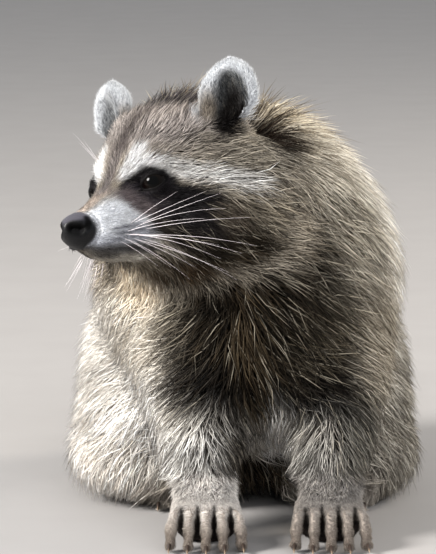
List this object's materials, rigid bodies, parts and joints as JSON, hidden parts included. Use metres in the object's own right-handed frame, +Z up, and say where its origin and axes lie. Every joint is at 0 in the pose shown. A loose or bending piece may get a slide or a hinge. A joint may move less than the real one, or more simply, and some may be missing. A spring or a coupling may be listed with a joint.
{
  "type": "raccoon",
  "caption": "Life-size still model of a raccoon sitting on its haunches, straight forelegs set down in front, head turned to its right, ringed tail laid behind.",
  "frame": {"origin": "on the floor, under the middle of the whole animal", "axes": "+Z up; the chest faces -Y and the tail points to +Y; +X is the animal's left side"},
  "size_m": [0.2084, 0.5772, 0.2794],
  "materials": {
    "face_coat": "short grizzled fur",
    "body_coat": "long grizzled fur",
    "pale_coat": "short pale fur",
    "tail_coat": "long ringed fur",
    "hand_skin": "thinly furred skin",
    "claw_horn": "worn horn",
    "nose_leather": "moist pebbled leather",
    "eye_glass": "polished"
  },
  "bodies": {
    "root": {"chest": "body_coat", "ear_left": "face_coat", "ear_right": "face_coat", "eye_left": "eye_glass", "eye_right": "eye_glass", "finger_left_1": "hand_skin", "finger_left_2": "hand_skin", "finger_left_3": "hand_skin", "finger_left_4": "hand_skin", "finger_left_5": "hand_skin", "finger_right_1": "hand_skin", "finger_right_2": "hand_skin", "finger_right_3": "hand_skin", "finger_right_4": "hand_skin", "finger_right_5": "hand_skin", "fore_claw_left_1": "claw_horn", "fore_claw_left_2": "claw_horn", "fore_claw_left_3": "claw_horn", "fore_claw_left_4": "claw_horn", "fore_claw_left_5": "claw_horn", "fore_claw_right_1": "claw_horn", "fore_claw_right_2": "claw_horn", "fore_claw_right_3": "claw_horn", "fore_claw_right_4": "claw_horn", "fore_claw_right_5": "claw_horn", "foreleg_left": "body_coat", "foreleg_right": "body_coat", "forepaw_left": "pale_coat", "forepaw_right": "pale_coat", "haunch_left": "body_coat", "haunch_right": "body_coat", "head": "face_coat", "hind_claw_left_1": "claw_horn", "hind_claw_left_2": "claw_horn", "hind_claw_left_3": "claw_horn", "hind_claw_left_4": "claw_horn", "hind_claw_left_5": "claw_horn", "hind_claw_right_1": "claw_horn", "hind_claw_right_2": "claw_horn", "hind_claw_right_3": "claw_horn", "hind_claw_right_4": "claw_horn", "hind_claw_right_5": "claw_horn", "hindfoot_left": "pale_coat", "hindfoot_right": "pale_coat", "hindquarters": "body_coat", "neck": "body_coat", "nose": "nose_leather", "tail_middle": "tail_coat", "tail_root": "tail_coat", "tail_tip": "tail_coat"}
  },
  "joints": []
}
